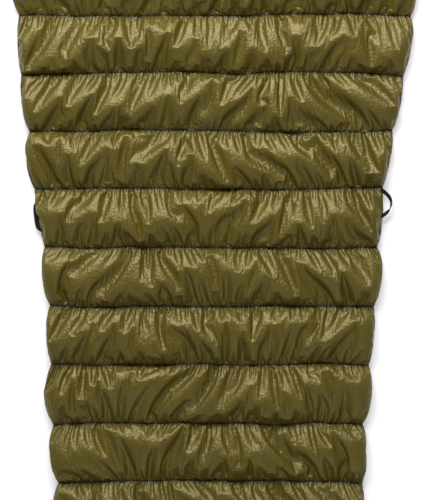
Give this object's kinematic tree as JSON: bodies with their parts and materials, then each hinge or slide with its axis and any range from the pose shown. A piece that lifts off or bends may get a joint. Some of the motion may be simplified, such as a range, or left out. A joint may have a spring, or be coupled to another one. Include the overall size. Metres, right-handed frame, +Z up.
{
  "type": "camp quilt",
  "caption": "Tapered, puffy sleeping quilt with sewn-through transverse chambers, webbing strap loops on its side edges and a drawcord hem at each end.",
  "frame": {"origin": "on the ground, under the middle of the quilt as it lies flat", "axes": "+Y to the head end, +X to the quilt's right-hand edge, +Z up"},
  "size_m": [1.3481, 1.928, 0.052],
  "materials": {
    "shell_nylon": "glossy downproof nylon, olive",
    "liner_nylon": "downproof nylon, darker olive",
    "edge_nylon": "nylon edge binding",
    "insulation": "lofted polyester fibre",
    "thread": "bonded polyester thread",
    "webbing": "woven black webbing",
    "elastic_cord": "braided elastic cord",
    "lock_plastic": "moulded acetal",
    "snap_plastic": "moulded acetal",
    "spring_steel": "spring wire"
  },
  "bodies": {
    "middle": {"shell_middle": "shell_nylon", "liner_middle": "liner_nylon", "side_walls_middle": "shell_nylon", "baffle_walls_middle": "liner_nylon", "seam_threads_middle": "thread", "insulation_03": "insulation", "insulation_04": "insulation", "insulation_05": "insulation", "insulation_06": "insulation", "insulation_07": "insulation", "insulation_08": "insulation", "hip_loop_ends": "webbing"},
    "head": {"shell_head": "shell_nylon", "liner_head": "liner_nylon", "side_walls_head": "shell_nylon", "baffle_walls_head": "liner_nylon", "seam_threads_head": "thread", "insulation_01": "insulation", "insulation_02": "insulation", "head_end_panel": "liner_nylon", "head_hem": "edge_nylon", "head_drawcord": "elastic_cord", "head_cord_end": "lock_plastic", "neck_tab_left": "webbing", "neck_tab_right": "webbing", "neck_snap_cap_left": "snap_plastic", "neck_snap_cap_right": "snap_plastic", "neck_snap_stud": "snap_plastic", "neck_snap_socket": "snap_plastic", "shoulder_loop_ends": "webbing"},
    "foot": {"shell_foot": "shell_nylon", "liner_foot": "liner_nylon", "side_walls_foot": "shell_nylon", "baffle_walls_foot": "liner_nylon", "seam_threads_foot": "thread", "insulation_09": "insulation", "insulation_10": "insulation", "insulation_11": "insulation", "foot_end_panel": "liner_nylon", "foot_hem": "edge_nylon", "foot_drawcord": "elastic_cord", "foot_cord_end": "lock_plastic", "foot_tab_left": "webbing", "foot_tab_right": "webbing", "foot_snap_cap_left": "snap_plastic", "foot_snap_cap_right": "snap_plastic", "foot_snap_stud": "snap_plastic", "foot_snap_socket": "snap_plastic"},
    "hip_loop_right": {"hip_loop_right": "webbing"},
    "hip_loop_left": {"hip_loop_left": "webbing"},
    "shoulder_loop_right": {"shoulder_loop_right": "webbing"},
    "shoulder_loop_left": {"shoulder_loop_left": "webbing"},
    "head_lock": {"head_cord_lock": "lock_plastic", "head_cord_lock_spring": "spring_steel"},
    "head_lock_button": {"head_cord_lock_button": "lock_plastic"},
    "foot_lock": {"foot_cord_lock": "lock_plastic", "foot_cord_lock_spring": "spring_steel"},
    "foot_lock_button": {"foot_cord_lock_button": "lock_plastic"}
  },
  "joints": [
    {"name": "head_fold", "type": "hinge", "parent": "middle", "child": "head", "pos_m": [0, 0.602, 0.056], "axis": [1, 0, 0], "range_deg": [0, 178]},
    {"name": "foot_fold", "type": "hinge", "parent": "middle", "child": "foot", "pos_m": [0, -0.43, 0.056], "axis": [-1, 0, 0], "range_deg": [0, 178]},
    {"name": "hip_loop_right_swing", "type": "hinge", "parent": "middle", "child": "hip_loop_right", "pos_m": [0.52586, 0.04326, 0.017], "axis": [0.124, 0.9923, 0], "range_deg": [-90, 90]},
    {"name": "hip_loop_left_swing", "type": "hinge", "parent": "middle", "child": "hip_loop_left", "pos_m": [-0.51654, 0.00583, 0.017], "axis": [-0.124, 0.9923, 0], "range_deg": [-90, 90]},
    {"name": "shoulder_loop_right_swing", "type": "hinge", "parent": "head", "child": "shoulder_loop_right", "pos_m": [0.61182, 0.84769, 0.017], "axis": [0.0522, 0.9986, 0], "range_deg": [-90, 90]},
    {"name": "shoulder_loop_left_swing", "type": "hinge", "parent": "head", "child": "shoulder_loop_left", "pos_m": [-0.61182, 0.84769, 0.017], "axis": [-0.0522, 0.9986, 0], "range_deg": [-90, 90]},
    {"name": "head_lock_slide", "type": "slide", "parent": "head", "child": "head_lock", "axis": [1, 0, 0], "range_m": [0, 0.08]},
    {"name": "head_lock_press", "type": "slide", "parent": "head_lock", "child": "head_lock_button", "axis": [0, 0, -1], "range_m": [0, 0.003], "stiffness_N_per_m": 800, "deforming": ["head_cord_lock_spring"]},
    {"name": "foot_lock_slide", "type": "slide", "parent": "foot", "child": "foot_lock", "axis": [-1, 0, 0], "range_m": [0, 0.08]},
    {"name": "foot_lock_press", "type": "slide", "parent": "foot_lock", "child": "foot_lock_button", "axis": [0, 0, -1], "range_m": [0, 0.003], "stiffness_N_per_m": 800, "deforming": ["foot_cord_lock_spring"]}
  ]
}
